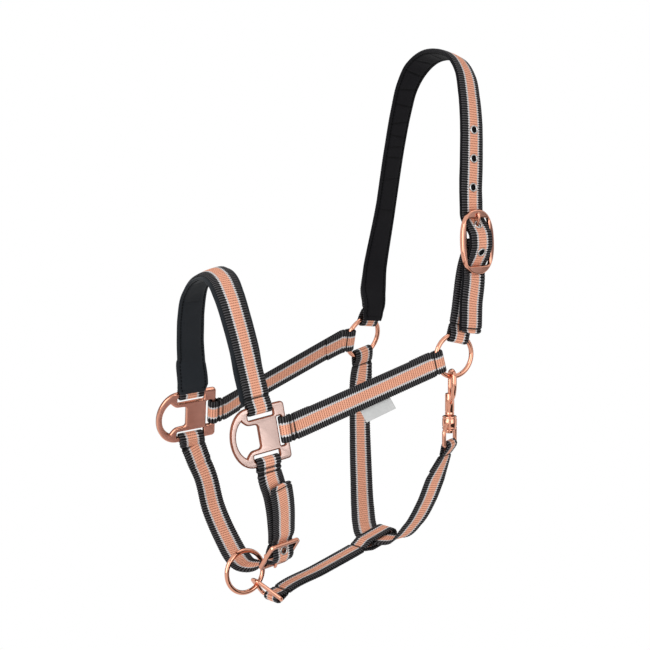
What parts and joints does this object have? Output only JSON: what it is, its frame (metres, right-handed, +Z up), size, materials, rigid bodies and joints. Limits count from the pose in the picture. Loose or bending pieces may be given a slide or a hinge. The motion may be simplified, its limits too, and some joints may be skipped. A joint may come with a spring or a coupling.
{
  "type": "headcollar",
  "caption": "Webbing headcollar with padded crown and noseband, cast side plates, buckled crown and chin straps, lead ring and swivelling snap at the throat.",
  "frame": {"origin": "under the crown at the poll, where the headcollar hangs on the animal's head", "axes": "+Z up as worn, -Y towards the nose, +X towards the near side"},
  "size_m": [0.1782, 0.305, 0.5358],
  "materials": {
    "webbing": "ribbed flat nylon webbing, black edges, rose middle and thin grey stripes",
    "lining": "soft black lining, sewn near its edges",
    "tag": "plain woven grey tag",
    "plate_metal": "satin rose gold plating on a zinc casting",
    "ring_metal": "polished rose gold plating",
    "eyelet_metal": "bright nickel plating",
    "spring_steel": "plain spring wire"
  },
  "bodies": {
    "straps": {"crown_strap": "webbing", "crown_lining": "lining", "crown_chape": "webbing", "noseband_strap": "webbing", "noseband_pad": "lining", "near_cheek_strap": "webbing", "off_cheek_strap": "webbing", "chin_strap": "webbing", "chin_chape": "webbing", "jaw_strap": "webbing", "throat_strap": "webbing", "woven_tag": "tag", "near_side_plate": "plate_metal", "off_side_plate": "plate_metal", "snap_eye": "ring_metal", "crown_eyelet_1": "eyelet_metal", "crown_eyelet_2": "eyelet_metal", "crown_eyelet_3": "eyelet_metal", "crown_eyelet_4": "eyelet_metal", "crown_eyelet_5": "eyelet_metal", "chin_eyelet_1": "eyelet_metal", "chin_eyelet_2": "eyelet_metal"},
    "near_ring": {"near_cheek_ring": "ring_metal"},
    "off_ring": {"off_cheek_ring": "ring_metal"},
    "lead_ring": {"chin_ring": "ring_metal"},
    "link": {"jaw_link": "ring_metal"},
    "crown_buckle": {"crown_buckle_frame": "ring_metal"},
    "crown_tongue": {"crown_buckle_tongue": "ring_metal"},
    "chin_buckle": {"chin_buckle_frame": "ring_metal"},
    "chin_tongue": {"chin_buckle_tongue": "ring_metal"},
    "hook": {"snap_hook": "ring_metal", "snap_spring": "spring_steel"},
    "bolt": {"snap_bolt": "ring_metal"}
  },
  "joints": [
    {"name": "near_ring_spin", "type": "hinge", "parent": "straps", "child": "near_ring", "pos_m": [0.076, -0.041, -0.288], "axis": [0.9984, -0.0571, 0], "continuous": true},
    {"name": "off_ring_spin", "type": "hinge", "parent": "straps", "child": "off_ring", "pos_m": [-0.076, -0.041, -0.288], "axis": [-0.9556, -0.1268, 0.2661], "continuous": true},
    {"name": "lead_ring_spin", "type": "hinge", "parent": "straps", "child": "lead_ring", "pos_m": [0, -0.236, -0.492], "axis": [1, 0, 0], "continuous": true},
    {"name": "link_swing", "type": "hinge", "parent": "straps", "child": "link", "pos_m": [0, -0.203, -0.522], "axis": [1, 0, 0], "range_deg": [-7, 7]},
    {"name": "crown_buckle_rock", "type": "hinge", "parent": "straps", "child": "crown_buckle", "pos_m": [0.07951, -0.0175, -0.17767], "axis": [0, 1, 0], "range_deg": [-1, 1]},
    {"name": "crown_tongue_lift", "type": "hinge", "parent": "crown_buckle", "child": "crown_tongue", "pos_m": [0.07951, -0.0175, -0.17767], "axis": [0, 1, 0], "range_deg": [0, 1.2]},
    {"name": "chin_buckle_rock", "type": "hinge", "parent": "straps", "child": "chin_buckle", "pos_m": [0.03619, -0.22189, -0.46732], "axis": [0.0994, -0.9878, -0.1197], "range_deg": [-2, 2]},
    {"name": "chin_tongue_lift", "type": "hinge", "parent": "chin_buckle", "child": "chin_tongue", "pos_m": [0.03619, -0.22189, -0.46732], "axis": [0.0994, -0.9878, -0.1197], "range_deg": [0, 6]},
    {"name": "snap_swivel", "type": "hinge", "parent": "straps", "child": "hook", "pos_m": [0.06951, -0.04063, -0.345], "axis": [0, 0, 1], "range_deg": [-5, 25]},
    {"name": "snap_bolt_slide", "type": "slide", "parent": "hook", "child": "bolt", "axis": [0, 0, -1], "range_m": [0, 0.007], "stiffness_N_per_m": 300, "springref_m": -0.003, "deforming": ["snap_spring"]}
  ]
}
